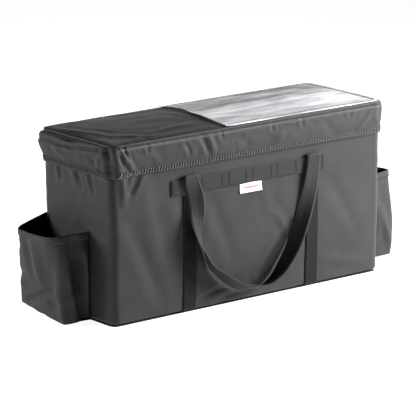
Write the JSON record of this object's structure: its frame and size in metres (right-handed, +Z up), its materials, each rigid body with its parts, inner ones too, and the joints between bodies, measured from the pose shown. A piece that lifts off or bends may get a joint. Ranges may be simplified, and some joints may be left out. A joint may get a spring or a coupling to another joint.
{
  "type": "insulated food carrier",
  "caption": "Soft-sided insulated box for carrying hot or cold food, with a fold-back lid, webbing handles and open end pockets.",
  "frame": {"origin": "middle of the base cover's underside, on the surface the carrier stands on", "axes": "+X along the carrier's length, +Z up, and -Y is the front, the long side with the label"},
  "size_m": [0.9938, 0.3382, 0.4139],
  "materials": {
    "nylon_fabric": "matte",
    "webbing": "matte",
    "lining": "satin",
    "foam": "matte",
    "stiffener": "matte",
    "hook_and_loop": "matte",
    "clear_vinyl": "gloss",
    "label": "satin"
  },
  "bodies": {
    "carrier": {"outer_shell": "nylon_fabric", "base_cover": "nylon_fabric", "base_board": "stiffener", "foam_base": "foam", "foam_front": "foam", "foam_back": "foam", "foam_left": "foam", "foam_right": "foam", "inner_liner": "lining", "rim_binding": "webbing", "strap_left": "webbing", "strap_right": "webbing", "front_band": "webbing", "back_band": "webbing", "label_tag": "label", "left_pocket": "nylon_fabric", "left_pocket_hem": "nylon_fabric", "right_pocket": "nylon_fabric", "right_pocket_hem": "nylon_fabric", "loop_tape_front": "hook_and_loop", "loop_tape_left": "hook_and_loop", "loop_tape_right": "hook_and_loop", "hinge_strip": "nylon_fabric"},
    "lid": {"lid_cover": "nylon_fabric", "lid_foam": "foam", "lid_liner": "lining", "lid_skirt": "nylon_fabric", "lid_piping": "nylon_fabric", "hook_tape_front": "hook_and_loop", "hook_tape_left": "hook_and_loop", "hook_tape_right": "hook_and_loop", "document_window": "clear_vinyl", "window_tape_front": "clear_vinyl", "window_tape_back": "clear_vinyl", "window_tape_right": "clear_vinyl"},
    "handle_front": {"handle_front": "webbing"},
    "handle_back": {"handle_back": "webbing"}
  },
  "joints": [
    {"name": "lid_hinge", "type": "hinge", "parent": "carrier", "child": "lid", "pos_m": [0, 0.132, 0.4], "axis": [-1, 0, 0], "range_deg": [0, 115]},
    {"name": "handle_front_swing", "type": "hinge", "parent": "carrier", "child": "handle_front", "pos_m": [0, -0.1316, 0.3068], "axis": [-1, 0, 0], "range_deg": [0, 150]},
    {"name": "handle_back_swing", "type": "hinge", "parent": "carrier", "child": "handle_back", "pos_m": [0, 0.1316, 0.3068], "axis": [1, 0, 0], "range_deg": [0, 150]}
  ]
}
